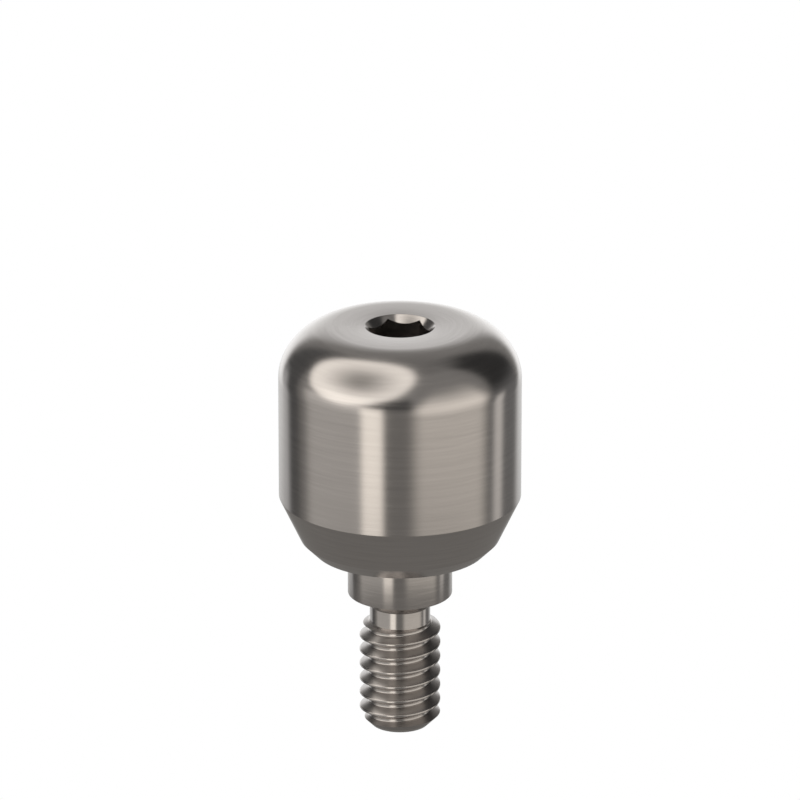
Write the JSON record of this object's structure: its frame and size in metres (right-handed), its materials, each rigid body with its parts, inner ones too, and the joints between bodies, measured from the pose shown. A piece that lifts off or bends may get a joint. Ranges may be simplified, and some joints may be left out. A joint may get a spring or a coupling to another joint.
{
  "type": "dental healing abutment",
  "caption": "One-piece turned titanium healing abutment: rounded gum-forming head with a hex driver socket, locating collar and a short right-hand screw thread.",
  "frame": {"origin": "on the axis, at the seat: the flat ring under the head that lands on the implant's rim", "axes": "+Z along the axis towards the rounded head, so that the collar and the thread point down -Z; one flat of the hexagonal socket lies near +Y"},
  "size_m": [0.0054, 0.0054, 0.0096],
  "materials": {
    "titanium": "finely turned titanium alloy"
  },
  "bodies": {
    "root": {"healing_abutment": "titanium"}
  },
  "joints": []
}
